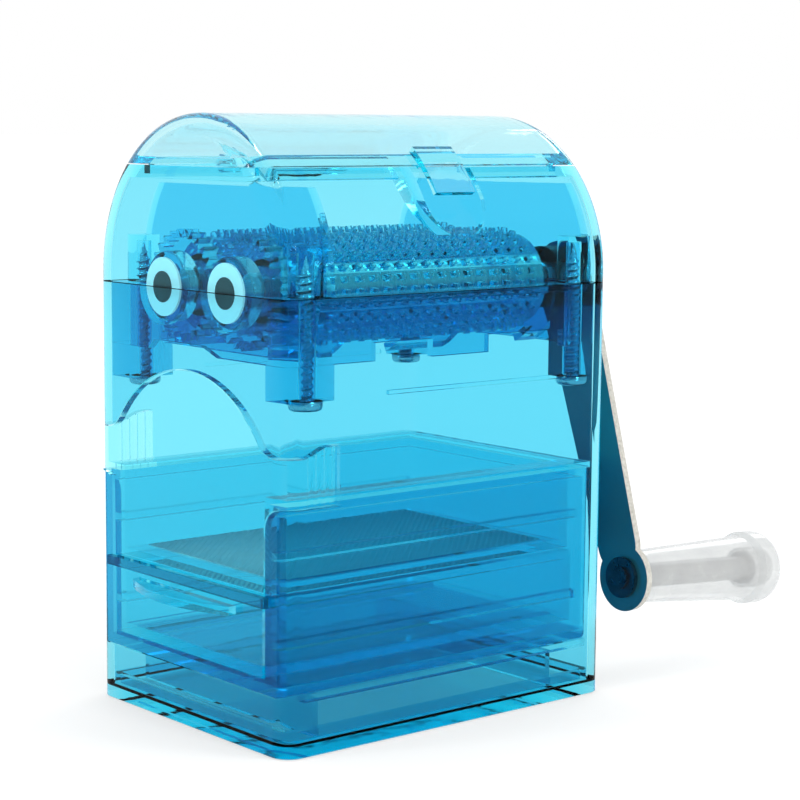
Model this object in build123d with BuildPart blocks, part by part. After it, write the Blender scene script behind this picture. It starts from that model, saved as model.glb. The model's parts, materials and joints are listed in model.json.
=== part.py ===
from build123d import *
from math import atan2, cos, degrees, radians, sin, sqrt, tan
import os

# Hand-cranked twin-roller grinder in clear blue plastic. Millimetres, +Z up, origin at the centre of
# the base. The end caps with the painted rings face -Y, the crank is at +Y, the lid opens towards -X.

# Case
case_width = 64.0
case_depth = 84.0
corner_radius = 4.0
wall = 2.0
base_thickness = 2.4
parting_height = 86.0
arch_height = parting_height + 2.0
lid_height = 109.8
lid_gap = 0.2
lip_x = 18.1
lip_y = 38.2
lip_thickness = 1.2
half_width = case_width / 2
half_depth = case_depth / 2
inner_width = case_width - 2 * wall
inner_depth = case_depth - 2 * wall

# Wave-topped front of the collecting bin: a large arch between two small shoulders
wave_centre = 40.8
wave_radius = 29.6
shoulder_x = 28.2
shoulder_radius = 6.0
shoulder_rise = sqrt((wave_radius + shoulder_radius) ** 2 - shoulder_x**2)
shoulder_centre = wave_centre + shoulder_rise
shoulder_height = shoulder_centre - shoulder_radius
wing_bottom = 47.2
wing_top = 58.4
wing_end = -29.15
cut_gap = 0.25

# Drawer cage, collecting bin and lower drawer
cage_width = 58.4
cage_front = -41.8
cage_back = 39.8
cage_bottom = 11.5
cage_top = 47.5
cage_wall = 1.5
cage_rim_width = 3.0
opening_width = 51.2
opening_bottom = 14.4
flare_radius = 4.4
bin_width = 50.4
bin_back = 36.5
bin_bottom = 30.4
bin_wall = 1.4
bin_rim_thickness = 1.2
drawer_width = 50.0
drawer_back = 37.8
drawer_bottom = 14.6
drawer_wall = 1.3
drawer_top = 29.5
bar_bottom = 28.3
bar_top = 30.2

# Rollers and gears
axis_x = 10.5
axis_z = parting_height
shaft_radius = 3.0
running_gap = 0.06
drum_front = -28.0
drum_back = 34.0
drum_radius = 9.4
ring_radius = 10.9
ring_pitch = 3.5
ring_width = 1.5
ring_count = 17
gear_teeth = 28
gear_module = 2 * axis_x / gear_teeth
gear_front = -35.2
gear_width = 3.4
hub_front = -39.0
bush_radius = 5.0
bush_flange = 0.8
front_bulkhead = -31.2
rear_bulkhead = 35.6
bulkhead_thickness = 2.0

# Roller tray with its screw posts
tray_bottom = 73.5
tray_wall = 1.6
post_bottom = 66.7
post_x = 26.5
post_places = [(-post_x, -33.3), (post_x, -33.3), (-post_x, 36.0), (post_x, 36.0)]
screw_length = 27.3
screw_radius = 1.3
boss_radius = 3.3
boss_top = 95.5

# Lid hinge, tongue and finger scoop
hinge_radius = 33.6
hinge_angle = 137.5
hinge_x = hinge_radius * cos(radians(hinge_angle))
hinge_z = arch_height + hinge_radius * sin(radians(hinge_angle))
knuckle_radius = 2.1
hinge_pin_radius = 0.9
hinge_length = 30.0
lid_knuckle_length = 17.8
tongue_y = 2.0
tongue_width = 10.0
scoop_y = 2.25
scoop_radius = 7.75
scoop_bottom = 96.4

# Crank and knob
crank_angle = 21.5
crank_length = 66.4
crank_lean = 4.0
arm_thickness = 1.5
pad_height = 48.5
pad_length = 9.0
crank_hub_front = 42.3
knob_length = 40.0

crank_pivot = Vector(axis_x, 0, axis_z)
arm_direction = Vector(sin(radians(crank_angle)), 0, -cos(radians(crank_angle)))
arm_plane = Plane(origin=crank_pivot, x_dir=arm_direction, z_dir=(0, 1, 0))
side_normal = arm_direction.cross(Vector(0, 1, 0))
arm_side_plane = Plane(origin=crank_pivot, x_dir=arm_direction, z_dir=side_normal)
lean_drop = (crank_length - pad_length) * tan(radians(crank_lean))
knob_seat = pad_height + arm_thickness - lean_drop
knob_origin = crank_pivot + arm_direction * crank_length + Vector(0, knob_seat, 0)
leaning_direction = arm_direction * cos(radians(crank_lean)) - Vector(0, sin(radians(crank_lean)), 0)
knob_direction = arm_direction * sin(radians(crank_lean)) + Vector(0, cos(radians(crank_lean)), 0)
knob_plane = Plane(origin=knob_origin, x_dir=leaning_direction, z_dir=knob_direction)

pieces = []


def finish(part, name):
    """Labels a finished piece and keeps it for the export."""
    part.label = name
    pieces.append(part)


def across(y):
    """Plane with X to the right and Z up that stands at this Y."""
    return Plane.XZ.offset(-y)


def block(x_range, y_range, z_range):
    """Rectangular block between three pairs of limits."""
    with BuildPart() as solid:
        with BuildSketch(Plane.XY.offset(z_range[0])):
            with Locations(((x_range[0] + x_range[1]) / 2, (y_range[0] + y_range[1]) / 2)):
                Rectangle(x_range[1] - x_range[0], y_range[1] - y_range[0])
        extrude(amount=z_range[1] - z_range[0])
    return solid.part


def rod(x, z, radius, y_range):
    """Cylinder along Y between two places."""
    with BuildPart() as solid:
        with BuildSketch(across(y_range[0])):
            with Locations((x, z)):
                Circle(radius)
        extrude(amount=y_range[0] - y_range[1])
    return solid.part


def tube(x, z, radius, bore, y_range):
    """Cylinder along Y with a hole of radius bore."""
    with BuildPart() as solid:
        with BuildSketch(across(y_range[0])):
            with Locations((x, z)):
                Circle(radius)
                Circle(bore, mode=Mode.SUBTRACT)
        extrude(amount=y_range[0] - y_range[1])
    return solid.part


def wave_face(gap):
    """Face under the wave-topped outline, grown by gap."""
    meeting = degrees(atan2(shoulder_rise, shoulder_x))
    small = shoulder_radius - gap
    edge = half_width + gap
    flat = shoulder_centre - small
    with BuildSketch() as outline:
        with BuildLine():
            Line((-edge, wing_bottom - gap), (-edge, flat))
            Line((-edge, flat), (-shoulder_x, flat))
            CenterArc((-shoulder_x, shoulder_centre), small, -90, 90 - meeting)
            CenterArc((0, wave_centre), wave_radius + gap, 180 - meeting, 2 * meeting - 180)
            CenterArc((shoulder_x, shoulder_centre), small, 180 + meeting, 90 - meeting)
            Line((shoulder_x, flat), (edge, flat))
            Line((edge, flat), (edge, wing_bottom - gap))
            Line((edge, wing_bottom - gap), (-edge, wing_bottom - gap))
        make_face()
    return outline.sketch


def wing_face(gap):
    """Side view of the bin's wings, grown by gap: the top edge rises in a gentle S."""
    start = -half_depth + corner_radius
    low = shoulder_height + gap
    high = wing_top + gap
    end = wing_end + gap
    with BuildSketch() as outline:
        with BuildLine():
            Line((start, wing_bottom - gap), (end, wing_bottom - gap))
            Line((end, wing_bottom - gap), (end, high))
            Line((end, high), (end - 2.0, high))
            Spline((end - 2.0, high), (start, low), tangents=((-1, 0), (-1, 0)))
            Line((start, low), (start, wing_bottom - gap))
        make_face()
    return outline.sketch


def panel_face(width, bottom, gap):
    """Lower part of the bin's front: straight sides that flare out in quarter circles at the top."""
    x = width / 2
    radius = flare_radius - gap
    centre_x = x + radius
    centre_z = wing_bottom - flare_radius
    top = cage_top + 0.1
    with BuildSketch() as outline:
        with BuildLine():
            Line((-x, bottom), (x, bottom))
            Line((x, bottom), (x, centre_z))
            CenterArc((centre_x, centre_z), radius, 180, -90)
            Line((centre_x, centre_z + radius), (centre_x, top))
            Line((centre_x, top), (-centre_x, top))
            Line((-centre_x, top), (-centre_x, centre_z + radius))
            CenterArc((-centre_x, centre_z), radius, 90, -90)
            Line((-x, centre_z), (-x, bottom))
        make_face()
    return outline.sketch


def ring_sector(centre, inner, outer, start, size):
    """Face between two radii and two angles."""
    with BuildSketch() as outline:
        with BuildLine():
            near = CenterArc(centre, inner, start, size)
            far = CenterArc(centre, outer, start, size)
            Line(near @ 0, far @ 0)
            Line(near @ 1, far @ 1)
        make_face()
    return outline.sketch


def arch_solid(inset):
    """Solid inside of the dome: straight sides, a half circle above, rounded ends."""
    radius = half_width - inset
    bottom = parting_height - inset
    with BuildPart() as arch:
        with BuildSketch(Plane.XZ):
            with BuildLine():
                Line((radius, bottom), (radius, arch_height))
                CenterArc((0, arch_height), radius, 0, 180)
                Line((-radius, arch_height), (-radius, bottom))
                Line((-radius, bottom), (radius, bottom))
            make_face()
        extrude(amount=half_depth - inset, both=True)
        ends = arch.edges().group_by(Axis.Y)[0] + arch.edges().group_by(Axis.Y)[-1]
        upper = ends.filter_by(lambda edge: edge.center().Z > bottom + 0.1)
        fillet(upper, max(corner_radius - inset, 0.4))
    return arch.part


def toothed_disc(root, tip, count, base, point, turn):
    """Disc with straight-sided teeth of width base at the root and point at the tip."""
    with BuildSketch() as disc:
        Circle(root)
        with PolarLocations(0, count, start_angle=turn):
            Polygon(
                (root - 0.4, -base / 2), (root, -base / 2), (tip, -point / 2),
                (tip, point / 2), (root, base / 2), (root - 0.4, base / 2), align=None,
            )
    return disc.sketch


def roller(x, shift):
    """Drum with a row of grinding rings, moved along by shift, on a bored core."""
    middle = (drum_front + drum_back) / 2 + shift
    rings = [middle + ring_pitch * (i - (ring_count - 1) / 2) for i in range(ring_count)]
    planes = [Plane((x, y, axis_z), x_dir=(1, 0, 0), z_dir=(0, -1, 0)) for y in rings]
    with BuildPart() as drum:
        add(rod(x, axis_z, drum_radius, (drum_front, drum_back)))
        with BuildSketch(*planes):
            Circle(ring_radius)
        extrude(amount=ring_width / 2, both=True)
        add(rod(x, axis_z, shaft_radius, (drum_front - 1, drum_back + 1)), mode=Mode.SUBTRACT)
    return drum.part


def gear(x, turn):
    """Spur gear on one roller shaft."""
    root = axis_x - 1.25 * gear_module
    tip = axis_x + gear_module
    with BuildPart() as wheel:
        with BuildSketch(Plane((x, gear_front, axis_z), x_dir=(1, 0, 0), z_dir=(0, -1, 0))):
            add(toothed_disc(root, tip, gear_teeth, 1.62, 0.42, turn))
            Circle(shaft_radius, mode=Mode.SUBTRACT)
        extrude(amount=-gear_width)
    return wheel.part


def bush(x, inner_face, outward):
    """Plain bearing with its flange towards the rollers."""
    seat = (inner_face, inner_face + outward * bulkhead_thickness)
    collar = (inner_face - outward * bush_flange, inner_face)
    bore = shaft_radius + running_gap
    with BuildPart() as bearing:
        add(tube(x, axis_z, bush_radius, bore, (min(seat), max(seat))))
        add(tube(x, axis_z, bush_radius + 1.2, bore, (min(collar), max(collar))))
    return bearing.part


# Base plate with a locating rim and two cross ribs
with BuildPart() as base_plate:
    with BuildSketch():
        RectangleRounded(case_width, case_depth, corner_radius)
    extrude(amount=base_thickness)
    with BuildSketch(Plane.XY.offset(base_thickness)):
        RectangleRounded(inner_width - 0.3, inner_depth - 0.3, corner_radius - wall)
        RectangleRounded(inner_width - 3.3, inner_depth - 3.3, 0.6, mode=Mode.SUBTRACT)
    extrude(amount=2.2)
    for rib_y in (-32.0, 29.0):
        add(block((-28.0, 28.0), (rib_y - 0.6, rib_y + 0.6), (base_thickness, 9.8)))
finish(base_plate.part, "base_plate")

# Case: a rectangular tube, open at the top and where the cage and the bin's front show
with BuildPart() as body_shell:
    with BuildSketch(Plane.XY.offset(base_thickness)):
        RectangleRounded(case_width, case_depth, corner_radius)
        RectangleRounded(inner_width, inner_depth, corner_radius - wall, mode=Mode.SUBTRACT)
    extrude(amount=parting_height - base_thickness)
    for side in (-1, 1):
        ledge = sorted((side * (half_width - wall), side * (half_width - wall - 2.0)))
        add(block(ledge, (-36, 38), (9.9, 11.4)))
        rest = sorted((side * (half_width - wall), side * (half_width - wall - 0.8)))
        add(block(rest, (-16, 31), (66.9, 67.7)))
    with BuildSketch(across(-half_depth)):
        with Locations((0, (cage_bottom + wing_bottom) / 2)):
            Rectangle(cage_width + 0.2, wing_bottom - cage_bottom + 0.2)
        add(wave_face(cut_gap))
    extrude(amount=-corner_radius, mode=Mode.SUBTRACT)
    with BuildSketch(Plane.YZ):
        add(wing_face(cut_gap))
    extrude(amount=half_width, both=True, mode=Mode.SUBTRACT)
    add(rod(axis_x, axis_z, shaft_radius + 0.5, (half_depth - wall - 1, half_depth + 1)), mode=Mode.SUBTRACT)
finish(body_shell.part, "body_shell")

# Cage that guides the bin and the drawer, with a front frame that is flush with the case
with BuildPart() as drawer_cage:
    cage_depth = cage_back - cage_front
    with BuildSketch(Plane.XY.offset(cage_bottom)):
        with Locations((0, (cage_front + cage_back) / 2)):
            Rectangle(cage_width, cage_depth)
    extrude(amount=cage_top - cage_bottom)
    back_face = drawer_cage.faces().sort_by(Axis.Y)[-1]
    rounded = back_face.edges().filter_by(lambda edge: edge.center().Z < cage_top - 0.1)
    fillet(rounded, 2.5)
    side_x = cage_width / 2 - cage_wall
    rim_x = cage_width / 2 - cage_rim_width
    frame_back = cage_front + wall
    inner_y = (frame_back, cage_back - cage_wall)
    add(block((-side_x, side_x), inner_y, (cage_bottom + cage_wall, cage_top - 2)), mode=Mode.SUBTRACT)
    add(block((-rim_x, rim_x), (frame_back, cage_back - 2.6), (cage_top - 3, cage_top + 1)), mode=Mode.SUBTRACT)
    with BuildSketch(across(cage_front)):
        add(panel_face(opening_width, opening_bottom, 0.2))
    extrude(amount=-wall, mode=Mode.SUBTRACT)
    for side in (-1, 1):
        runner = sorted((side * 18.0, side * 20.0))
        add(block(runner, (frame_back, 37), (cage_bottom + cage_wall, opening_bottom)))
        for rail_z in (20.0, 37.0):
            rail = sorted((side * (opening_width / 2), side * side_x))
            add(block(rail, (frame_back, 37), (rail_z, rail_z + 1.6)))
finish(drawer_cage.part, "drawer_cage")

# Collecting bin: a box hung by its rim on the cage, with the wave-topped front and ribbed wings
with BuildPart() as collecting_bin:
    with BuildSketch(across(-half_depth)):
        add(wave_face(0))
    extrude(amount=-corner_radius)
    with BuildSketch(Plane.YZ):
        add(wing_face(0))
    extrude(amount=half_width, both=True)
    add(block((-30, 30), (-half_depth + wall, half_depth), (wing_bottom - 1, 80)), mode=Mode.SUBTRACT)
    with BuildSketch(Plane.XY.offset(wing_bottom)):
        RectangleRounded(case_width, case_depth, corner_radius)
    extrude(amount=wave_radius, mode=Mode.INTERSECT)
    with BuildSketch(across(-half_depth)):
        add(panel_face(bin_width + 0.4, bar_top + 0.15, 0))
    extrude(amount=-wall)
    box_front = -half_depth + wall
    box_x = bin_width / 2
    rim_bottom = cage_top + 0.1
    rim_top = rim_bottom + bin_rim_thickness
    add(block((-box_x, box_x), (box_front, bin_back), (bin_bottom, rim_top)))
    add(block((-29.5, 29.5), (box_front, 39.0), (rim_bottom, rim_top)))
    for side in (-1, 1):
        add(block(sorted((side * 29, side * 30.4)), (box_front, wing_end), (rim_bottom, rim_top)))
        for groove in range(4):
            groove_y = wing_end - 1.3 - 1.9 * groove
            rib = Location((side * (half_width + 0.05), groove_y, wing_bottom - 1))
            with Locations(rib):
                Cylinder(
                    0.55, 14, align=(Align.CENTER, Align.CENTER, Align.MIN), mode=Mode.SUBTRACT
                )
    inside_x = box_x - bin_wall
    add(
        block((-inside_x, inside_x), (box_front, bin_back - bin_wall), (bin_bottom + 1.5, rim_top + 1)),
        mode=Mode.SUBTRACT,
    )
    add(block((-21, 21), (-34, 31), (bin_bottom - 1, bin_bottom + 2)), mode=Mode.SUBTRACT)
finish(collecting_bin.part, "collecting_bin")

# Sieve screen that lies in the floor of the bin
with BuildPart() as sieve_screen:
    add(block((-22.5, 22.5), (-35.5, 32.5), (bin_bottom + 1.5, bin_bottom + 1.9)))
finish(sieve_screen.part, "sieve_screen")

# Lower drawer with its top bar and curved pull
with BuildPart() as lower_drawer:
    drawer_x = drawer_width / 2
    add(block((-drawer_x, drawer_x), (-half_depth, drawer_back), (drawer_bottom, drawer_top)))
    drawer_inside = drawer_x - drawer_wall
    inside_y = (-half_depth + wall, drawer_back - drawer_wall)
    add(
        block((-drawer_inside, drawer_inside), inside_y, (drawer_bottom + 1.6, drawer_top + 1)),
        mode=Mode.SUBTRACT,
    )
    for side in (-1, 1):
        lip = sorted((side * (drawer_x - 0.1), side * (drawer_x - 2.2)))
        add(block(lip, inside_y, (drawer_top - 2, drawer_top)))
    add(block((-26.8, 26.8), (-43.2, -half_depth + 0.05), (bar_bottom, bar_top)))
    add(block((-drawer_x, drawer_x), (-42.1, -half_depth + wall), (bar_bottom, bar_top)))
    with BuildSketch(Plane.XY.offset(25.3)):
        with BuildLine():
            Line((-16.5, -41.9), (-16.5, -43.6))
            ThreePointArc((-16.5, -43.6), (0, -47.5), (16.5, -43.6))
            Line((16.5, -43.6), (16.5, -41.9))
            Line((16.5, -41.9), (-16.5, -41.9))
        make_face()
    extrude(amount=1.7)
finish(lower_drawer.part, "lower_drawer")

# Tray that carries the rollers: skirt, bulkheads, curved cheeks and screw posts
with BuildPart() as roller_tray:
    tray_width = inner_width - 0.2
    tray_depth = inner_depth - 0.2
    with BuildSketch(Plane.XY.offset(tray_bottom)):
        RectangleRounded(tray_width, tray_depth, corner_radius - wall)
        RectangleRounded(
            tray_width - 2 * tray_wall, tray_depth - 2 * tray_wall, 0.6, mode=Mode.SUBTRACT
        )
    extrude(amount=parting_height - tray_bottom)
    for side in (-1, 1):
        shelf = sorted((side * 22.6, side * (tray_width / 2 - 1)))
        add(block(shelf, (front_bulkhead, rear_bulkhead), (parting_height - 1.6, parting_height)))
        start = 0 if side > 0 else 180
        with BuildSketch(across(front_bulkhead)):
            add(ring_sector((side * axis_x, axis_z), 12.0, 13.6, start, -side * 68))
        extrude(amount=front_bulkhead - rear_bulkhead)
    for bulkhead in (front_bulkhead, rear_bulkhead):
        plate = (bulkhead, bulkhead + bulkhead_thickness)
        add(block((-tray_width / 2 + 1, tray_width / 2 - 1), plate, (tray_bottom, parting_height)))
    for x, y in post_places:
        side = 1 if x > 0 else -1
        post_y = (-39.3, -28.8) if y < 0 else (32.7, 39.3)
        add(block(sorted((side * 23.0, side * 29.4)), post_y, (post_bottom, parting_height)))
    with Locations(*[Location((x, y, post_bottom - 1)) for x, y in post_places]):
        Cylinder(1.6, 30, align=(Align.CENTER, Align.CENTER, Align.MIN), mode=Mode.SUBTRACT)
    for x in (-axis_x, axis_x):
        add(rod(x, axis_z, bush_radius, (front_bulkhead - 1, front_bulkhead + 3)), mode=Mode.SUBTRACT)
        add(rod(x, axis_z, bush_radius, (rear_bulkhead - 1, rear_bulkhead + 3)), mode=Mode.SUBTRACT)
        add(rod(x, axis_z, 7.6, (-half_depth, -37.5)), mode=Mode.SUBTRACT)
    add(rod(axis_x, axis_z, shaft_radius + 0.5, (37, half_depth)), mode=Mode.SUBTRACT)
    for window in ((-19.3, -5.0), (9.6, 30.0)):
        add(block((-half_width, half_width), window, (tray_bottom - 1, 77.0)), mode=Mode.SUBTRACT)
    with BuildSketch(across(-half_depth)):
        with BuildLine():
            Polyline((-16, 73), (-13, 75.4), (3, 75.4), (9.7, 73), close=True)
        make_face()
    extrude(amount=-6, mode=Mode.SUBTRACT)
finish(roller_tray.part, "roller_tray")


def scoop(grow):
    """Finger hollow under the tongue: a U in side view that gets deeper towards the lid."""
    radius = scoop_radius + grow
    with BuildPart() as hollow:
        with BuildSketch(Plane.YZ.offset(14)):
            with Locations((scoop_y, scoop_bottom + scoop_radius)):
                Circle(radius)
            with Locations((scoop_y, scoop_bottom + scoop_radius + 6)):
                Rectangle(2 * radius, 12)
        extrude(amount=20)
        with BuildSketch(Plane.XZ):
            with BuildLine():
                Polyline(
                    (32.4 - 1.4 * grow, 94.8), (17.6 - 1.4 * grow, 111.5), (40, 111.5), (40, 94.8),
                    close=True,
                )
            make_face()
        extrude(amount=half_depth, both=True, mode=Mode.INTERSECT)
    return hollow.part


def rim_band(z_range, outer_inset, inner_inset):
    """Horizontal band that follows the inside of the dome between two insets."""
    slab = block((-half_width, half_width), (-half_depth, half_depth), z_range)
    return (slab & arch_solid(outer_inset)) - arch_solid(inner_inset)


# Dome: fixed upper case up to the lid, with the upper halves of the bulkheads
scoop_wall = (scoop(1.4) & arch_solid(0.3)) - block((-40, 40), (-50, 50), (lid_height, 130))
dome_rim = rim_band((lid_height - 2.6, lid_height), wall - 0.1, 3.4)
bulkhead_shape = arch_solid(wall - 0.2)
with BuildPart() as dome_cover:
    add(arch_solid(0))
    add(arch_solid(wall), mode=Mode.SUBTRACT)
    for bulkhead in (front_bulkhead, rear_bulkhead):
        plate = block((-31, 31), (bulkhead, bulkhead + bulkhead_thickness), (parting_height, 106.0))
        add(plate & bulkhead_shape)
    with Locations(*[Location((x, y, parting_height)) for x, y in post_places]):
        Cylinder(boss_radius, boss_top - parting_height, align=(Align.CENTER, Align.CENTER, Align.MIN))
    add(dome_rim)
    add(scoop_wall)
    add(scoop(0), mode=Mode.SUBTRACT)
    add(block((-40, 40), (-50, 50), (lid_height, 130)), mode=Mode.SUBTRACT)
    for side in (-1, 1):
        knuckle = sorted((side * hinge_length / 2, side * (lid_knuckle_length / 2 + 0.2)))
        add(rod(hinge_x, hinge_z, knuckle_radius, knuckle))
    lid_knuckle = (-lid_knuckle_length / 2 - 0.2, lid_knuckle_length / 2 + 0.2)
    add(rod(hinge_x, hinge_z, knuckle_radius + 0.3, lid_knuckle), mode=Mode.SUBTRACT)
    add(rod(hinge_x, hinge_z, hinge_pin_radius, (-20, 20)), mode=Mode.SUBTRACT)
    with Locations(*[Location((x, y, parting_height)) for x, y in post_places]):
        Cylinder(screw_radius, 8.2, align=(Align.CENTER, Align.CENTER, Align.MIN), mode=Mode.SUBTRACT)
    for x in (-axis_x, axis_x):
        add(rod(x, axis_z, bush_radius, (front_bulkhead - 1, front_bulkhead + 3)), mode=Mode.SUBTRACT)
        add(rod(x, axis_z, bush_radius, (rear_bulkhead - 1, rear_bulkhead + 3)), mode=Mode.SUBTRACT)
    add(rod(axis_x, axis_z, shaft_radius + 0.5, (37, half_depth + 1)), mode=Mode.SUBTRACT)
finish(dome_cover.part, "dome_cover")

# Lid: the cap of the arch with a lip that drops inside the rim, a tongue and a hinge knuckle
lid_bottom = lid_height + lid_gap
lid_band = rim_band((lid_bottom, lid_bottom + 1.4), wall - 0.1, 5.0)
lip_inside_x = lip_x - lip_thickness
lip_inside_y = lip_y - lip_thickness
lip_hollow_z = (lid_height - 2, lid_bottom + 1)
lid_lip = block((-lip_x, lip_x), (-lip_y, lip_y), (lid_height - 1.8, lid_bottom + 0.2))
lid_lip -= block((-lip_inside_x, lip_inside_x), (-lip_inside_y, lip_inside_y), lip_hollow_z)
scoop_reach = scoop_radius + 1.9
lid_lip -= block((10, 30), (scoop_y - scoop_reach, scoop_y + scoop_reach), (lid_height - 2, lid_bottom))
with BuildPart() as lid:
    add(arch_solid(0))
    add(arch_solid(wall), mode=Mode.SUBTRACT)
    add(block((-40, 40), (-50, 50), (60, lid_bottom)), mode=Mode.SUBTRACT)
    add(lid_band)
    add(lid_lip)
    with BuildSketch(across(tongue_y - tongue_width / 2)):
        add(ring_sector((0, arch_height), half_width - 0.6, half_width + 1.4, 43.0, 7.5))
        add(ring_sector((0, arch_height), half_width + 0.25, half_width + 1.4, 30.7, 13.0))
    extrude(amount=-tongue_width)
    add(rod(hinge_x, hinge_z, knuckle_radius, (-lid_knuckle_length / 2, lid_knuckle_length / 2)))
    for side in (-1, 1):
        knuckle = sorted((side * (hinge_length / 2 + 0.2), side * lid_knuckle_length / 2))
        add(rod(hinge_x, hinge_z, knuckle_radius + 0.3, knuckle), mode=Mode.SUBTRACT)
    add(rod(hinge_x, hinge_z, hinge_pin_radius + running_gap, (-20, 20)), mode=Mode.SUBTRACT)
finish(lid.part, "lid")
finish(rod(hinge_x, hinge_z, hinge_pin_radius, (-hinge_length / 2, hinge_length / 2)), "lid_hinge_pin")

# Rollers, gears, bearings and the ringed end caps on their hubs
for side, name in ((1, "drive"), (-1, "idler")):
    x = side * axis_x
    half_gear_tooth = 180.0 / gear_teeth if side < 0 else 0.0
    finish(roller(x, -side * ring_pitch / 4), name + "_roller")
    finish(gear(x, half_gear_tooth), name + "_gear")
    with BuildPart() as end_hub:
        add(rod(x, axis_z, 7.0, (hub_front, gear_front - 0.2)))
        fillet(end_hub.edges().group_by(Axis.Y)[0], 0.8)
        add(rod(x, axis_z, shaft_radius, (-37.2, -30)), mode=Mode.SUBTRACT)
    finish(end_hub.part, name + "_end_hub")
    finish(tube(x, axis_z, 5.8, 3.1, (hub_front - 0.5, hub_front)), name + "_eye_ring")
    finish(rod(x, axis_z, 3.1, (hub_front - 0.7, hub_front)), name + "_eye_pupil")
    finish(bush(x, front_bulkhead + bulkhead_thickness, -1), "front_bush_" + name)
    finish(bush(x, rear_bulkhead, 1), "rear_bush_" + name)

finish(rod(-axis_x, axis_z, shaft_radius, (-37.2, 38.5)), "idler_shaft")

with BuildPart() as drive_shaft:
    add(rod(axis_x, axis_z, shaft_radius, (-37.2, pad_height)))
    with BuildSketch(across(pad_height)):
        with Locations((axis_x, axis_z)):
            Rectangle(4.2, 4.2, rotation=crank_angle)
    extrude(amount=-arm_thickness)
    add(rod(axis_x, axis_z, 1.5, (41, pad_height + 3)), mode=Mode.SUBTRACT)
finish(drive_shaft.part, "drive_shaft")

# Four case screws, driven up through the tray posts into the dome
with BuildPart() as case_screws:
    for x, y in post_places:
        with BuildSketch(Plane.XY.offset(post_bottom)):
            with Locations((x, y)):
                Circle(screw_radius)
        extrude(amount=screw_length)
        with BuildSketch(Plane.XY.offset(post_bottom)):
            with Locations((x, y)):
                Circle(3.2)
        extrude(amount=-1.9)
    head_edges = case_screws.edges().group_by(Axis.Z)[0]
    fillet(head_edges, 0.9)
finish(case_screws.part, "case_screws")

# Crank: hub, leaning arm, washer and screw on the square end of the shaft
with BuildPart() as crank_hub:
    add(tube(axis_x, axis_z, 6.5, shaft_radius, (crank_hub_front, pad_height)))
    chamfer(crank_hub.edges().group_by(Axis.Y)[0].sort_by(SortBy.LENGTH)[-1], 0.6)
finish(crank_hub.part, "crank_hub")

with BuildPart() as crank_arm:
    with BuildSketch(arm_plane.offset(40)):
        with BuildSketch(mode=Mode.PRIVATE) as strap:
            Circle(7.5)
            with Locations((crank_length - 7, 0)):
                Circle(5.6)
            make_hull()
        add(strap)
        with Locations((crank_length, 0)):
            Circle(7.0)
    extrude(amount=12)
    with BuildSketch(arm_side_plane):
        with BuildLine():
            far = crank_length + 10
            drop = (far - pad_length) * tan(radians(crank_lean))
            Polyline(
                (-12, pad_height), (pad_length, pad_height), (far, pad_height - drop),
                (far, pad_height - drop + arm_thickness), (pad_length, pad_height + arm_thickness),
                (-12, pad_height + arm_thickness), close=True,
            )
        make_face()
    extrude(amount=20, both=True, mode=Mode.INTERSECT)
    with BuildSketch(across(40)):
        with Locations((axis_x, axis_z)):
            Rectangle(4.2, 4.2, rotation=crank_angle)
    extrude(amount=-15, mode=Mode.SUBTRACT)
    with BuildSketch(knob_plane.offset(-5)):
        Circle(2.5)
    extrude(amount=10, mode=Mode.SUBTRACT)
finish(crank_arm.part, "crank_arm")

washer_top = pad_height + arm_thickness + 0.5
finish(tube(axis_x, axis_z, 3.6, 1.5, (pad_height + arm_thickness, washer_top)), "crank_washer")

with BuildPart() as crank_screw:
    add(rod(axis_x, axis_z, 3.0, (washer_top, washer_top + 2.2)))
    fillet(crank_screw.edges().group_by(Axis.Y)[-1], 1.0)
    add(rod(axis_x, axis_z, 1.5, (42, washer_top)))
    slot_y = (washer_top + 1.4, washer_top + 4)
    slot = block((axis_x - 3.5, axis_x + 3.5), slot_y, (axis_z - 0.4, axis_z + 0.4))
    add(slot, mode=Mode.SUBTRACT)
finish(crank_screw.part, "crank_screw")

# Knob on its rivet: a stepped head inside the arm, a plain shank and a collar under the end cap
with BuildPart() as knob_axle:
    with BuildSketch(knob_plane.offset(-arm_thickness)):
        Circle(4.3)
    extrude(amount=-0.9)
    with BuildSketch(knob_plane.offset(-arm_thickness - 0.9)):
        Circle(2.4)
    extrude(amount=-0.6)
    with BuildSketch(knob_plane.offset(-arm_thickness)):
        Circle(2.5)
    extrude(amount=arm_thickness + 34.5)
    with BuildSketch(knob_plane.offset(34.5)):
        Circle(3.6)
    extrude(amount=1.2)
finish(knob_axle.part, "knob_axle")

knob_side = leaning_direction.cross(knob_direction)
with BuildPart() as knob:
    with BuildSketch(Plane(origin=knob_origin, x_dir=leaning_direction, z_dir=knob_side)):
        with BuildLine():
            Polyline((2.58, 1.0), (5.55, 1.0), (5.55, 3.0), (7.0, 33.0))
            Line((7.0, 33.0), (7.9, 34.5))
            Line((7.9, 34.5), (7.9, 37.5))
            ThreePointArc((7.9, 37.5), (7.1, 39.7), (5.2, knob_length + 1))
            Polyline((5.2, 41.0), (4.4, 41.0), (4.4, 34.4), (2.58, 34.4), (2.58, 1.0))
        make_face()
    revolve(axis=Axis(knob_origin, knob_direction))
finish(knob.part, "knob")

with BuildPart() as knob_cap:
    with BuildSketch(knob_plane.offset(38.2)):
        Circle(4.4)
    extrude(amount=2.6)
    fillet(knob_cap.edges().filter_by(GeomType.CIRCLE).sort_by(Axis.Y)[-1], 0.8)
finish(knob_cap.part, "knob_cap")

os.makedirs("parts", exist_ok=True)
for piece in pieces:
    export_step(piece, "parts/" + piece.label + ".step")
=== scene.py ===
import json
import math

import bpy
import numpy as np
from mathutils import Matrix, Vector


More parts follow.
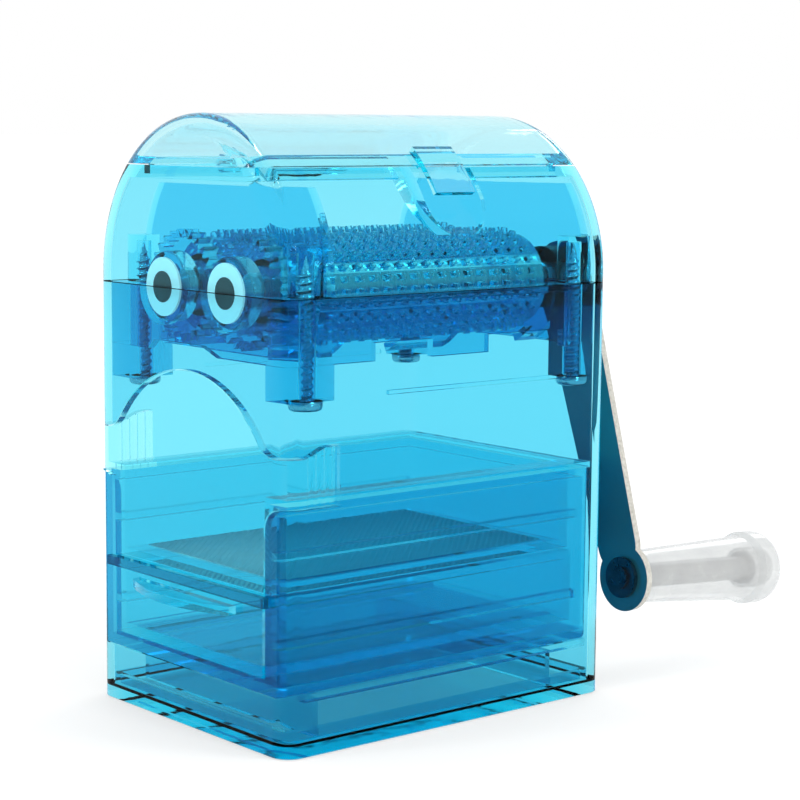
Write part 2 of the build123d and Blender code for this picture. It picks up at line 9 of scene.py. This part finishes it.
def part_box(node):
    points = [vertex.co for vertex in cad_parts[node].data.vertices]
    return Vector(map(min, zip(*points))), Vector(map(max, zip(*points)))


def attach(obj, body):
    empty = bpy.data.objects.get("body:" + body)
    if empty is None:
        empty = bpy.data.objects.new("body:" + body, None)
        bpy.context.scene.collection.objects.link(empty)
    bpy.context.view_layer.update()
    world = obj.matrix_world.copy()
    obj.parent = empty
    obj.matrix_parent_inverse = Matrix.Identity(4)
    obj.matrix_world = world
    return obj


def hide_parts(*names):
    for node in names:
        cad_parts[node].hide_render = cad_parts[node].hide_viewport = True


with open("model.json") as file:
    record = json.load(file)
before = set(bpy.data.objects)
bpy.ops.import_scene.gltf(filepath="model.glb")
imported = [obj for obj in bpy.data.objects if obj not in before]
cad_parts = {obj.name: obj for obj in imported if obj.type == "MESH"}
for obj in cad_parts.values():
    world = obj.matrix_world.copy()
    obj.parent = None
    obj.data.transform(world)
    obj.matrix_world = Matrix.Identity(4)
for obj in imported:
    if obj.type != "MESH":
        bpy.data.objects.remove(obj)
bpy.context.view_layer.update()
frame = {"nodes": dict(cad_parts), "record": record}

mm = 0.001
nodes = frame["nodes"]

# camera at the fitted eye point: it looks at target from azimuth and elevation, in degrees
camera = {"azimuth": 49.89, "elevation": 7.27, "roll": 0.46, "distance": 433.3 * mm,
          "target": (14.63 * mm, 0.0, 63.05 * mm), "lens": 96.96, "sensor": 36.0}


def addCamera(spec):
    a, e, r = (math.radians(spec[k]) for k in ("azimuth", "elevation", "roll"))
    back = Vector((math.sin(a) * math.cos(e), -math.cos(a) * math.cos(e), math.sin(e)))
    right = (-back).cross(Vector((0, 0, 1))).normalized()
    up = right.cross(-back)
    tiltedRight = right * math.cos(r) + up * math.sin(r)
    tiltedUp = up * math.cos(r) - right * math.sin(r)
    turn = Matrix((tiltedRight, tiltedUp, back)).transposed()
    data = bpy.data.cameras.new("camera")
    data.lens, data.sensor_width = spec["lens"], spec["sensor"]
    data.clip_start, data.clip_end = 0.01, 20
    ob = bpy.data.objects.new("camera", data)
    ob.matrix_world = Matrix.Translation(Vector(spec["target"]) + back * spec["distance"]) @ turn.to_4x4()
    bpy.context.collection.objects.link(ob)
    bpy.context.scene.camera = ob


addCamera(camera)
print("camera placed")


class Wire:
    # a socket whose arithmetic adds Math nodes to its tree
    def __init__(self, tree, socket):
        self.tree, self.socket = tree, socket

    def maths(self, operation, *values):
        return self.add("ShaderNodeMath", {"operation": operation}, dict(enumerate(values)))

    def add(self, kind, settings=None, inputs=None, out=0):
        node = self.tree.nodes.new(kind)
        settings = dict(settings or {})
        stops = settings.pop("stops", None)
        for name, value in settings.items():
            setattr(node, name, value)
        if stops:
            ramp = node.color_ramp
            while len(ramp.elements) < len(stops):
                ramp.elements.new(0.5)
            for element, (place, colour) in zip(ramp.elements, stops):
                element.position, element.color = place, colour
        for name, value in (inputs or {}).items():
            if isinstance(value, Wire):
                self.tree.links.new(value.socket, node.inputs[name])
            else:
                node.inputs[name].default_value = value
        return Wire(self.tree, node.outputs[out])

    def __add__(self, other):
        return self.maths("ADD", self, other)

    def __sub__(self, other):
        return self.maths("SUBTRACT", self, other)

    def __mul__(self, other):
        return self.maths("MULTIPLY", self, other)

    def __pow__(self, other):
        return self.maths("POWER", self, other)


def newMaterial(name):
    mat = bpy.data.materials.new(name)
    mat.use_nodes = True
    tree = mat.node_tree
    tree.nodes.clear()
    place = Wire(tree, tree.nodes.new("ShaderNodeTexCoord").outputs["Object"])
    out = tree.nodes.new("ShaderNodeOutputMaterial")
    return mat, tree, place, out


def noise(place, scale, detail=2.0):
    return place.add("ShaderNodeTexNoise", {}, {"Vector": place, "Scale": scale, "Detail": detail})


def blend(place, mask, low, high):
    # colour that goes from low to high as mask goes from 0 to 1
    return place.add("ShaderNodeMix", {"data_type": "RGBA"}, {0: mask, 6: (*low, 1), 7: (*high, 1)}, out=2)


def inRange(value, low, high):
    # 1 where low < value < high, else 0
    return value.maths("GREATER_THAN", value, low) * value.maths("LESS_THAN", value, high)


def clearPlastic(name, wallTint, perMm, bend=1.14, roughness=0.03, ripple=0.15, rippleSize=80.0, deep=None):
    # moulded see-through plastic: a wall of it passes wallTint, every millimetre takes perMm more of red,
    # green and blue, and a slow ripple with a patchy handled shine lies on its surface; deep gives a second
    # tint and a function of x, y and z for the thick places that have it
    mat, tree, place, out = newMaterial(name)
    density = 1000 * max(perMm)
    passed = [1 - 1000 * c / density for c in perMm]
    wave = noise(place, rippleSize, 3.0)
    smear = noise(place, 45.0, 4.0)
    bump = place.add("ShaderNodeBump", {}, {"Height": wave, "Strength": ripple, "Distance": 0.0004})
    tint = (*wallTint, 1)
    if deep:
        split = place.add("ShaderNodeSeparateXYZ", {}, {"Vector": place})
        x, y, z = (Wire(tree, socket) for socket in split.socket.node.outputs)
        tint = blend(place, deep["where"](x, y, z), wallTint, deep["tint"])
    shader = place.add("ShaderNodeBsdfPrincipled", {}, {
        "Base Color": tint, "Roughness": smear * (1.6 * roughness) + 0.2 * roughness,
        "IOR": bend, "Transmission Weight": 1.0, "Normal": bump})
    inside = place.add("ShaderNodeVolumeAbsorption", {}, {"Color": (*passed, 1), "Density": density})
    tree.links.new(shader.socket, out.inputs["Surface"])
    tree.links.new(inside.socket, out.inputs["Volume"])
    return mat


def milkyPlastic(name, openShare, dark, light):
    # clear plastic with a milky haze: part of the light passes, the rest meets a pale glossy surface
    mat, tree, place, out = newMaterial(name)
    cloud = noise(place, 120.0, 4.0)
    bump = place.add("ShaderNodeBump", {}, {"Height": cloud, "Strength": 0.15, "Distance": 0.0003})
    haze = place.add("ShaderNodeBsdfPrincipled", {}, {
        "Base Color": blend(place, cloud, dark, light), "Roughness": cloud * 0.2 + 0.15, "Coat Weight": 0.6,
        "Normal": bump})
    clear = place.add("ShaderNodeBsdfTransparent", {}, {"Color": (0.97, 0.98, 0.985, 1)})
    share = cloud * 0.2 + (0.9 - openShare)
    shader = place.add("ShaderNodeMixShader", {}, {0: share, 1: clear, 2: haze})
    tree.links.new(shader.socket, out.inputs["Surface"])
    return mat


def metal(name, dark, light, roughness, grain=(1, 1, 1), grainScale=400.0, bumpStrength=0.1):
    # brushed or rolled metal: stretched noise mixes two tones and moves the roughness
    mat, tree, place, out = newMaterial(name)
    along = place.add("ShaderNodeMapping", {}, {"Vector": place, "Scale": grain})
    streaks = noise(along, grainScale, 4.0)
    bump = place.add("ShaderNodeBump", {}, {"Height": streaks, "Strength": bumpStrength, "Distance": 0.0002})
    shader = place.add("ShaderNodeBsdfPrincipled", {}, {
        "Base Color": blend(place, streaks, dark, light), "Metallic": 1.0,
        "Roughness": streaks * 0.3 + (roughness - 0.15), "Normal": bump})
    tree.links.new(shader.socket, out.inputs["Surface"])
    return mat


def pressedSteel(name, spec):
    # plated sheet: two blue-green tones on its faces, and torn bright grains where the normal leaves the
    # sheet's own direction, which is where the press cut it
    mat, tree, place, out = newMaterial(name)
    normal = Wire(tree, tree.nodes.new("ShaderNodeTexCoord").outputs["Normal"])
    across = place.add("ShaderNodeVectorMath", {"operation": "DOT_PRODUCT"},
                       {0: normal, 1: spec["sheetNormal"]}, out=1)
    across = across.maths("ABSOLUTE", across)
    cut = place.add("ShaderNodeMapRange", {}, {"Value": across, "From Min": 0.9, "From Max": 0.6})
    plated = blend(place, noise(place, 35.0, 3.0), spec["dark"], spec["light"])
    torn = blend(place, noise(place, 1400.0, 3.0), spec["tornDark"], spec["tornLight"])
    colour = place.add("ShaderNodeMix", {"data_type": "RGBA"}, {0: cut, 6: plated, 7: torn}, out=2)
    grains = noise(place, 1400.0, 3.0)
    bump = place.add("ShaderNodeBump", {}, {"Height": grains * cut, "Strength": 0.5, "Distance": 0.0003})
    shader = place.add("ShaderNodeBsdfPrincipled", {}, {
        "Base Color": colour, "Metallic": cut * -0.6 + 0.75, "Roughness": cut * 0.3 + 0.32, "Normal": bump})
    tree.links.new(shader.socket, out.inputs["Surface"])
    return mat


def plainPlastic(name, dark, light, roughness, paintedGlow=0.0):
    # opaque moulded plastic with a slight mottle, and a painted glow: an emission that lights it though it is
    # no lamp
    mat, tree, place, out = newMaterial(name)
    mottle = noise(place, 300.0, 3.0)
    bump = place.add("ShaderNodeBump", {}, {"Height": mottle, "Strength": 0.08, "Distance": 0.0002})
    shader = place.add("ShaderNodeBsdfPrincipled", {}, {
        "Base Color": blend(place, mottle, dark, light), "Roughness": mottle * 0.1 + roughness,
        "Coat Weight": 0.4, "Normal": bump, "Emission Color": (1, 1, 1, 1), "Emission Strength": paintedGlow})
    tree.links.new(shader.socket, out.inputs["Surface"])
    return mat


# for each plastic: what a wall passes, and what a millimetre takes away, of red, green and blue
tints = {
    "case": ((0.42, 0.795, 0.90), (0.10, 0.008, 0.003)),
    "dome": ((0.62, 0.90, 0.97), (0.12, 0.012, 0.004)),
    "base": ((0.28, 0.74, 0.88), (0.08, 0.008, 0.003)),
    "cage": ((0.34, 0.77, 0.88), (0.08, 0.010, 0.005)),
    "tray": ((0.24, 0.68, 0.86), (0.10, 0.012, 0.006)),
    "bin": ((0.66, 0.92, 0.96), (0.10, 0.010, 0.004)),
    "lid": ((0.84, 0.96, 0.99), (0.08, 0.007, 0.002)),
    "rollers": ((0.66, 0.88, 0.93), (0.10, 0.012, 0.005)),
    "hubs": ((0.50, 0.84, 0.92), (0.06, 0.008, 0.004)),
}
armSheet = {"sheetNormal": (0.0256, 0.9976, -0.0649), "dark": (0.03, 0.18, 0.26), "light": (0.04, 0.28, 0.32),
            "tornDark": (0.30, 0.29, 0.25), "tornLight": (0.82, 0.80, 0.74)}


# where the thick places lie, in millimetres; far stands for no limit on that side
thick = {"archZ": 88, "archInside": 29.9, "frontPlate": (-31.3, -29.1), "rearPlate": (35.5, 37.7),
         "barBack": -40.1, "barBottom": 28.2, "frameBack": -39.6, "floorTop": 13.1}
far = 1.0


def bulkheadPlace(x, y, z):
    # the upright plates inside the dome: between two pairs of y, near enough to the arch's centre line
    rise = z - thick["archZ"] * mm
    radius = (x * x + rise * rise) ** 0.5
    front, rear = ([edge * mm for edge in thick[plate]] for plate in ("frontPlate", "rearPlate"))
    return (inRange(y, *front) + inRange(y, *rear)) * inRange(radius, -far, thick["archInside"] * mm)


def drawerBarPlace(x, y, z):
    # the drawer's top bar
    return inRange(y, -far, thick["barBack"] * mm) * inRange(z, thick["barBottom"] * mm, far)


def framePlace(x, y, z):
    # the cage's front frame and its floor
    either = inRange(y, -far, thick["frameBack"] * mm) + inRange(z, -far, thick["floorTop"] * mm)
    return either.maths("MINIMUM", 1.0, either)


materials = {
    "clear_blue": clearPlastic("caseBlue", *tints["case"]),
    "clear_blue_cage": clearPlastic("cageBlue", *tints["cage"],
                                    deep={"tint": (0.10, 0.48, 0.70), "where": framePlace}),
    "clear_blue_bin": clearPlastic("binBlue", *tints["bin"]),
    "clear_lid": clearPlastic("lidBlue", *tints["lid"], bend=1.45),
    "roller_blue": clearPlastic("rollerBlue", *tints["rollers"], bend=1.45, roughness=0.06),
    "bush_blue": clearPlastic("bushBlue", *tints["hubs"], roughness=0.2),
    "screen_steel": metal("screenSteel", (0.66, 0.70, 0.74), (0.82, 0.86, 0.90), 0.5),
    "shaft_steel": metal("shaftSteel", (0.45, 0.46, 0.48), (0.62, 0.63, 0.65), 0.3, grain=(1, 8, 1)),
    "arm_steel": pressedSteel("armSteel", armSheet),
    "screw_steel": metal("screwSteel", (0.26, 0.42, 0.52), (0.42, 0.58, 0.68), 0.25),
    "knob_clear": milkyPlastic("knobClear", 0.5, (0.60, 0.61, 0.61), (0.76, 0.76, 0.75)),
    # the white ring gets a painted glow that lifts it where it lies in shade behind the dome's front wall
    "eye_white": plainPlastic("eyeWhite", (0.92, 0.93, 0.93), (0.98, 0.98, 0.98), 0.35, paintedGlow=0.35),
    "eye_black": plainPlastic("eyeBlack", (0.008, 0.01, 0.02), (0.015, 0.02, 0.03), 0.3),
}
# nodes whose own moulding or plating differs from the rest of their slot
ownMaterials = {
    "dome_cover": clearPlastic("domeBlue", *tints["dome"],
                               deep={"tint": (0.34, 0.76, 0.94), "where": bulkheadPlace}),
    "base_plate": clearPlastic("baseBlue", *tints["base"]),
    "roller_tray": clearPlastic("trayBlue", *tints["tray"]),
    "lower_drawer": clearPlastic("drawerBlue", *tints["bin"],
                                 deep={"tint": (0.03, 0.24, 0.36), "where": drawerBarPlace}),
    "knob_axle": metal("rivetSteel", (0.03, 0.05, 0.07), (0.10, 0.13, 0.16), 0.3),
}
hubBlue = clearPlastic("hubBlue", *tints["hubs"], bend=1.15, roughness=0.1)
ownMaterials.update(dict.fromkeys(("drive_gear", "idler_gear", "drive_end_hub", "idler_end_hub"), hubBlue))
for entry in frame["record"]["subparts"]:
    slots = nodes[entry["node"]].data.materials
    slots.clear()
    slots.append(ownMaterials.get(entry["node"], materials[entry["material_slot"]]))
print("materials on", len(nodes), "nodes")


def addPiece(name, points, faces, body, slotName, replaced, smooth=False):
    mesh = bpy.data.meshes.new(name)
    mesh.from_pydata(points.reshape(-1, 3).tolist(), [], faces)
    mesh.validate()
    mesh.materials.append(materials[slotName])
    mesh.polygons.foreach_set("use_smooth", np.full(len(mesh.polygons), smooth))
    ob = bpy.data.objects.new(name, mesh)
    bpy.context.collection.objects.link(ob)
    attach(ob, body)
    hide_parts(*replaced)


def gridFaces(rows, columns, start=0, closedRows=False):
    # quads of a grid that closes on itself along its columns, and along its rows if asked
    i, j = np.meshgrid(np.arange(rows if closedRows else rows - 1), np.arange(columns), indexing="ij")
    ni, nj = (i + 1) % rows, (j + 1) % columns
    quads = np.stack([i * columns + j, i * columns + nj, ni * columns + nj, ni * columns + j], axis=-1)
    return (start + quads.reshape(-1, 4)).tolist()


# roller drum with rings of small pyramid teeth
roller = {"teeth": 26, "rings": 17, "pitch": 3.5, "root": 9.4, "tip": 10.9, "bore": 3.0,
          "base": 0.27, "top": 0.17, "ringBase": 0.75, "ringTop": 0.5, "shift": 0.875}


def toothedDrum(name, side, spec):
    # radius over angle and length: root everywhere, and tip where a tooth's top in angle meets a ring's top
    # in length
    low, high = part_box(name)
    axis = ((low.x + high.x) / 2, (low.z + high.z) / 2)
    middle = (low.y + high.y) / 2 - side * spec["shift"] * mm
    start, end = low.y, high.y
    pitchAngle = 2 * np.pi / spec["teeth"]
    marks = np.array([-spec["base"], -spec["top"], spec["top"], spec["base"]])
    angle = (np.arange(spec["teeth"])[:, None] * pitchAngle + marks * pitchAngle).ravel()
    onTooth = np.tile([False, True, True, False], spec["teeth"])
    centres = middle + spec["pitch"] * mm * (np.arange(spec["rings"]) - (spec["rings"] - 1) / 2)
    steps = np.array([-spec["ringBase"], -spec["ringTop"], spec["ringTop"], spec["ringBase"]]) * mm
    y = (centres[:, None] + steps).ravel()
    onRing = np.tile([False, True, True, False], spec["rings"])
    # profile: bore front, drum front, the rings, drum rear, bore rear
    y = np.concatenate([[start, start], y, [end, end]])
    onRing = np.concatenate([[False, False], onRing, [False, False]])
    base = np.full(len(y), spec["root"])
    base[0] = base[-1] = spec["bore"]
    radius = np.where(onRing[:, None] & onTooth[None, :], spec["tip"], base[:, None]) * mm
    points = np.stack([axis[0] + radius * np.cos(angle), np.broadcast_to(y[:, None], radius.shape),
                       axis[1] + radius * np.sin(angle)], axis=-1)
    body = "drive_train" if side > 0 else "idler_train"
    faces = [quad[::-1] for quad in gridFaces(*radius.shape, closedRows=True)]
    addPiece(name + "_teeth", points, faces, body, "roller_blue", [name])


toothedDrum("drive_roller", 1, roller)
toothedDrum("idler_roller", -1, roller)
print("rollers toothed")

# self-tapping case screws: a pan head with a cross, a spiral thread and a point
screw = {"places": ((-26.5, -33.3), (26.5, -33.3), (-26.5, 36.0), (26.5, 36.0)),
         "headRadius": 3.2, "headTop": 66.7, "cross": 0.9, "crossReach": 1.95, "crossHub": 0.6,
         "core": 1.02, "thread": 0.42, "pitch": 1.4, "steepness": 3.2, "rowsPerTurn": 8,
         "tip": 93.9, "point": 4.0, "sides": 48}


def threadedScrew(spec, low):
    # radius over turn and height: core plus a ridge that climbs one pitch each turn and fades into the point
    angle = np.arange(spec["sides"]) * 2 * np.pi / spec["sides"]
    face = np.array([0.35, 0.7, 1.1, 1.5, 1.9, 2.0, 2.5, 2.9, 3.1, 3.2, 3.2])
    face = face / face[-1] * spec["headRadius"]
    faceLift = np.array([0, 0, 0, 0, 0, 0, 0.05, 0.25, 0.5, 0.9, spec["headTop"] - low])
    inArms = (np.abs(np.cos(2 * angle)) > 0.8) & (face[:, None] < spec["crossReach"])
    arms = inArms | (face[:, None] < spec["crossHub"])
    headZ = low + faceLift[:, None] + spec["cross"] * arms
    headR = np.broadcast_to(face[:, None], headZ.shape)
    z = np.arange(spec["headTop"], spec["tip"], spec["pitch"] / spec["rowsPerTurn"])[:, None]
    turn = (z / spec["pitch"] - angle / (2 * np.pi)) % 1.0
    ridge = np.clip(1 - np.abs(turn - 0.5) * spec["steepness"], 0, 1)
    fade = np.clip((spec["tip"] - z) / spec["point"], 0.02, 1)
    shankR = (spec["core"] + spec["thread"] * ridge) * fade
    radius = np.concatenate([headR, shankR])
    height = np.concatenate([headZ, np.broadcast_to(z, shankR.shape)])
    return np.stack([radius * np.cos(angle), radius * np.sin(angle), height], axis=-1)


def addScrews(spec):
    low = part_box("case_screws")[0].z / mm
    one = threadedScrew(spec, low)
    rows, columns = one.shape[:2]
    points, faces = [], []
    for x, y in spec["places"]:
        start = len(points) * rows * columns
        points.append(one + (x, y, 0))
        faces += gridFaces(rows, columns, start)
        faces.append([start + columns - 1 - j for j in range(columns)])
        faces.append([start + (rows - 1) * columns + j for j in range(columns)])
    addPiece("case_screws_threaded", np.array(points) * mm, faces, "case", "screw_steel",
             ["case_screws"], smooth=True)


addScrews(screw)
print("screws threaded")

# woven steel screen of the bin: two sets of round wires that pass over and under each other
screen = {"pitch": 0.8, "wire": 0.13, "lift": 0.07, "flat": 0.5, "sides": 4, "gap": 0.05}


def wovenWires(along, across, middle, spec, swap):
    # wire i sits at across[i]; its middle rises by lift * cos(pi * (step / pitch + i)), so it passes
    # over one crossing and under the next, and its section is flattened in height
    turn = np.arange(spec["sides"]) * 2 * np.pi / spec["sides"] + np.pi / 4
    step = along[None, :, None]
    index = np.arange(len(across))[:, None, None]
    wave = np.cos(np.pi * ((step - along[0]) / spec["pitch"] + index)) * (-1 if swap else 1)
    ring = spec["wire"] * np.stack([np.cos(turn), np.sin(turn)])
    side = across[:, None, None] + ring[0] + 0 * step
    height = middle + spec["lift"] * wave + spec["flat"] * ring[1]
    length = step + 0 * side
    parts = (side, length, height) if not swap else (length, side, height)
    return np.stack(np.broadcast_arrays(*parts), axis=-1)


def addScreen(spec):
    low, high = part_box("sieve_screen")
    middle = (low.z + high.z) / 2 / mm
    margin = spec["wire"] + spec["gap"]
    xs = np.arange(low.x / mm + margin, high.x / mm - margin, spec["pitch"])
    ys = np.arange(low.y / mm + margin, high.y / mm - margin, spec["pitch"])
    points, faces, start = [], [], 0
    for along, across, swap in ((ys, xs, False), (xs, ys, True)):
        fine = np.linspace(along[0], along[-1], 2 * len(along) - 1)
        wires = wovenWires(fine, across, middle, spec, swap)
        count, rows, columns = wires.shape[:3]
        for wire in range(count):
            quads = gridFaces(rows, columns, start)
            faces += quads if swap else [quad[::-1] for quad in quads]
            ends = [[start + j for j in range(columns)],
                    [start + rows * columns - 1 - j for j in range(columns)]]
            faces += [end[::-1] for end in ends] if swap else ends
            start += rows * columns
        points.append(wires.reshape(-1, 3))
    addPiece("sieve_screen_woven", np.concatenate(points) * mm, faces, "bin", "screen_steel",
             ["sieve_screen"])


addScreen(screen)
print("screen woven")

# studio: white surroundings, pale floor, soft lamps that draw streaks on the lid
studio = {"world": 1.0, "floor": (0.6, 0.61, 0.61), "floorGlow": 0.45, "floorSize": 40.0,
          "floorGap": 0.0002, "bounces": 48, "glossyBounces": 32, "clearBounces": 96,
          "lamps": [("keyLamp", (-0.3, -1.0, 0.7), 0.15, 1.8), ("sideLamp", (1.1, 0.1, 0.5), 0.15, 1.8),
                    ("topLamp", (0.5, 0.3, 1.1), 0.2, 1.8), ("backLamp", (-0.4, 0.9, 0.6), 0.3, 1.0)]}


def addStudio(spec):
    scene = bpy.context.scene
    world = bpy.data.worlds.new("studio")
    world.use_nodes = True
    world.node_tree.nodes["Background"].inputs["Color"].default_value = (1, 1, 1, 1)
    world.node_tree.nodes["Background"].inputs["Strength"].default_value = spec["world"]
    scene.world = world
    scene.view_settings.view_transform = "Standard"
    scene.cycles.max_bounces = spec["bounces"]
    scene.cycles.transmission_bounces = spec["bounces"]
    scene.cycles.glossy_bounces = spec["glossyBounces"]
    scene.cycles.transparent_max_bounces = spec["clearBounces"]
    mat, tree, place, out = newMaterial("paleFloor")
    shade = place.add("ShaderNodeBsdfPrincipled", {}, {
        "Base Color": blend(place, noise(place, 2.0), spec["floor"], tuple(c * 0.99 for c in spec["floor"])),
        "Roughness": 0.9, "Specular IOR Level": 0.1, "Emission Color": (1, 1, 1, 1),
        "Emission Strength": spec["floorGlow"]})
    tree.links.new(shade.socket, out.inputs["Surface"])
    half = spec["floorSize"] / 2
    mesh = bpy.data.meshes.new("floor")
    corners = [(-half, -half, 0), (half, -half, 0), (half, half, 0), (-half, half, 0)]
    mesh.from_pydata(corners, [], [(0, 1, 2, 3)])
    mesh.materials.append(mat)
    floor = bpy.data.objects.new("floor", mesh)
    floor.location.z = -spec["floorGap"]
    bpy.context.collection.objects.link(floor)
    for name, spot, size, power in spec["lamps"]:
        data = bpy.data.lights.new(name, "AREA")
        data.size, data.energy = size, power
        lamp = bpy.data.objects.new(name, data)
        lamp.location = spot
        lamp.rotation_mode = "QUATERNION"
        lamp.rotation_quaternion = (Vector(spot) - Vector((0, 0, 0.06))).to_track_quat("Z", "Y")
        bpy.context.collection.objects.link(lamp)


addStudio(studio)
print("studio set")
